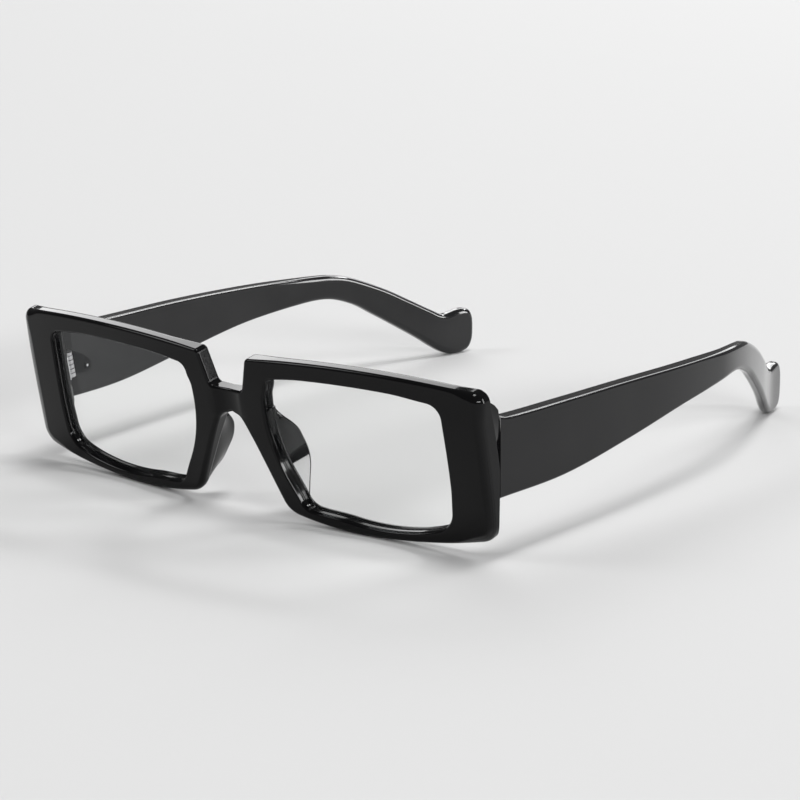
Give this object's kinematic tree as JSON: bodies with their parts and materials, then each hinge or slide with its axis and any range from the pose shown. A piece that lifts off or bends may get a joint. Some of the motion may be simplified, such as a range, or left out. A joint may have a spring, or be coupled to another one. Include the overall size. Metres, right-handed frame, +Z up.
{
  "type": "eyeglasses",
  "caption": "Square full-rim eyeglasses with a wrapped glossy front, clear lenses, bonded nose pads and two broad temples that fold inward on barrel hinges.",
  "frame": {"origin": "Middle of the bounding box's underside: the plane that the rims and the temple tips stand on.", "axes": "+Z up, +X toward the wearer's left temple, +Y from the front toward the temple tips."},
  "size_m": [0.1392, 0.157, 0.0401],
  "materials": {
    "acetate": "polished black acetate",
    "lens": "clear coated resin lens",
    "steel": "bright nickel-plated steel"
  },
  "bodies": {
    "front": {"front_frame": "acetate", "nose_pad_left": "acetate", "nose_pad_right": "acetate", "lens_left": "lens", "lens_right": "lens", "front_hinge_left": "steel", "front_hinge_right": "steel", "hinge_screw_left": "steel", "hinge_screw_right": "steel"},
    "temple_arm_left": {"temple_left": "acetate", "temple_hinge_left": "steel", "temple_rivet_left": "steel", "temple_core_left": "steel"},
    "temple_arm_right": {"temple_right": "acetate", "temple_hinge_right": "steel", "temple_rivet_right": "steel", "temple_core_right": "steel"}
  },
  "joints": [
    {"name": "left_temple_fold", "type": "hinge", "parent": "front", "child": "temple_arm_left", "pos_m": [0.0629, -0.06318, 0.0225], "axis": [0, -0.1874, 0.9823], "range_deg": [0, 88]},
    {"name": "right_temple_fold", "type": "hinge", "parent": "front", "child": "temple_arm_right", "pos_m": [-0.0629, -0.06318, 0.0225], "axis": [0, 0.1874, -0.9823], "range_deg": [0, 80]}
  ]
}
